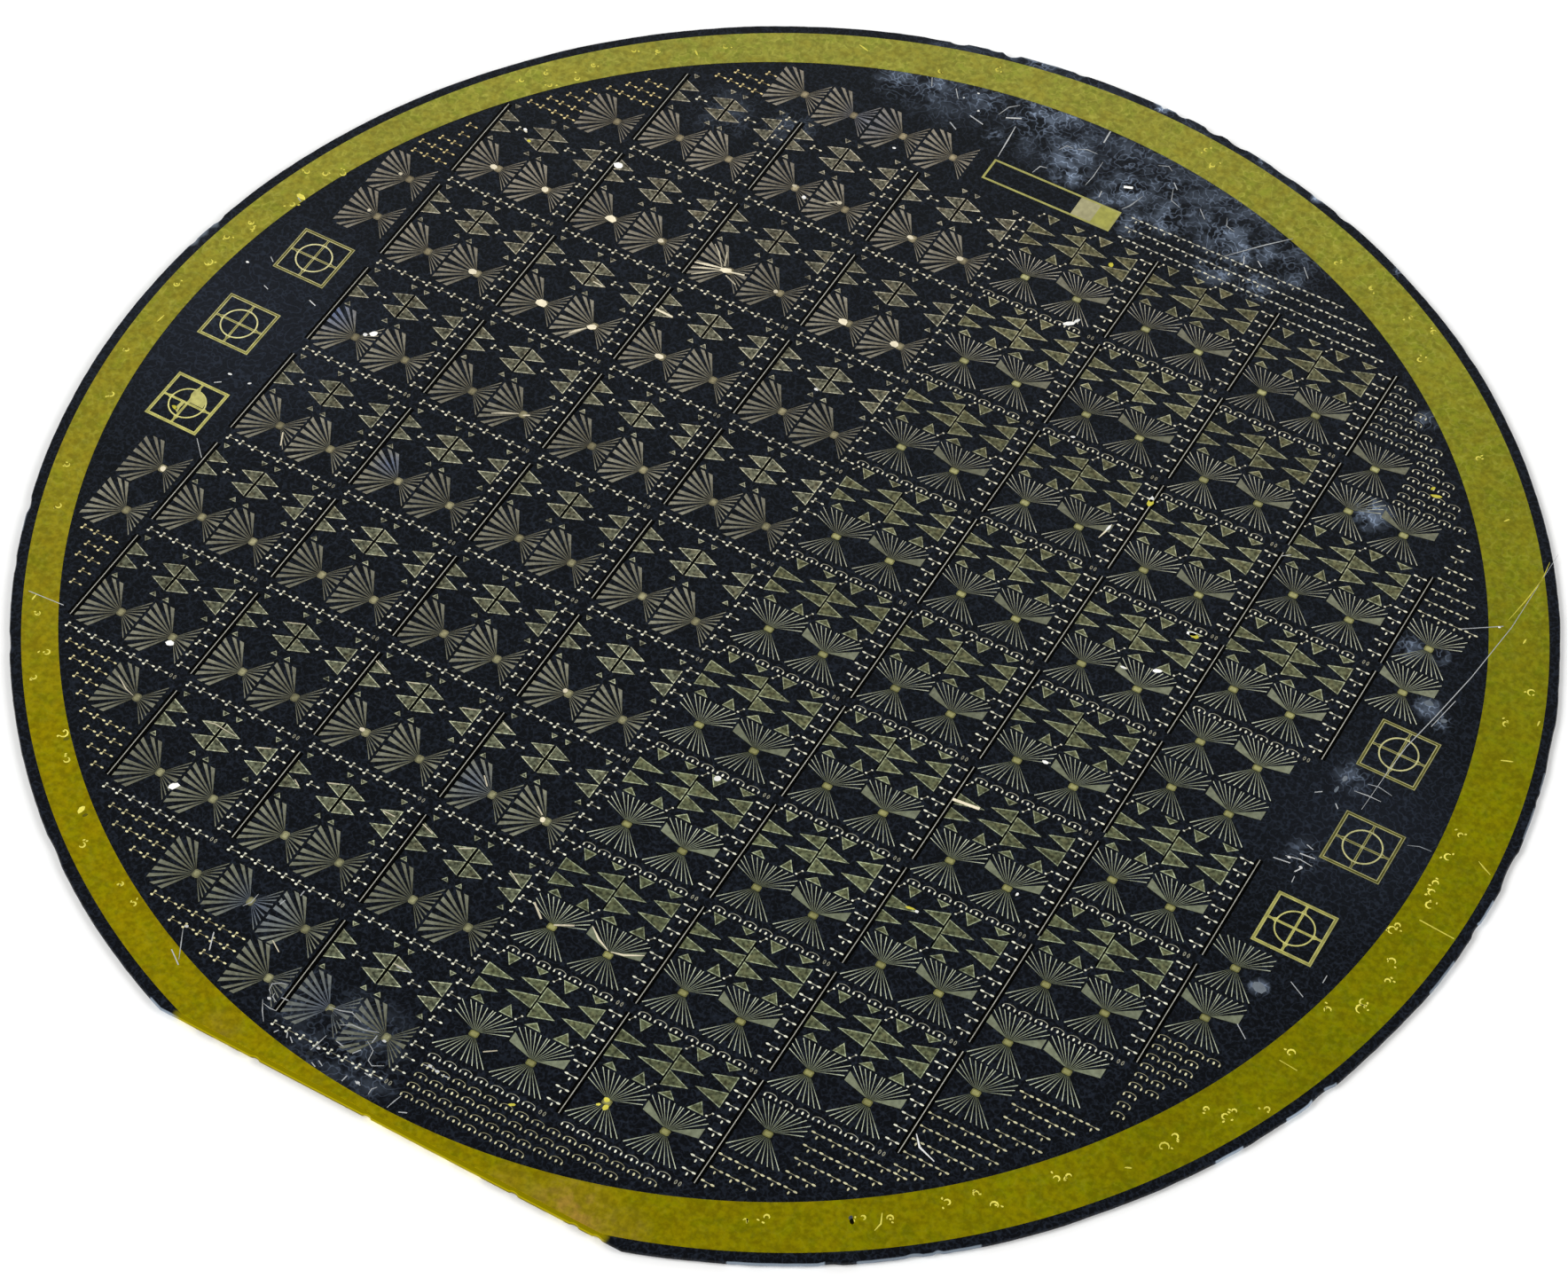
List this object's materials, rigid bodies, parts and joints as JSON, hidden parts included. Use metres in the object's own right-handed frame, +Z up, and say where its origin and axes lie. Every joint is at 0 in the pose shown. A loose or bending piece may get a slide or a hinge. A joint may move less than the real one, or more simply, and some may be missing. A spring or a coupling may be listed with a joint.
{
  "type": "silicon wafer",
  "caption": "Round silicon wafer with a flat, a plain film ring round the rim and a patterned field of test dies on its polished face.",
  "frame": {"origin": "centre of the wafer's round outline on its back face", "axes": "+Z up, out of the patterned face; the primary flat is on the -Y side and runs along X"},
  "size_m": [0.1, 0.0973, 0.0005],
  "materials": {
    "polished_silicon": "mirror-polished silicon, near-black blue",
    "rim_film": "smooth olive-gold thin film",
    "left_film": "smooth khaki thin film",
    "right_film": "smooth olive-green thin film",
    "edge_film": "smooth khaki thin film",
    "line_film": "pale gold thin film",
    "mark_film": "bright gold thin film"
  },
  "bodies": {
    "root": {"silicon_wafer": "polished_silicon", "rim_film": "rim_film", "left_die_film": "left_film", "right_die_film": "right_film", "edge_die_film": "edge_film", "scribe_lines": "line_film", "alignment_marks": "mark_film", "label_box": "mark_film"}
  },
  "joints": []
}
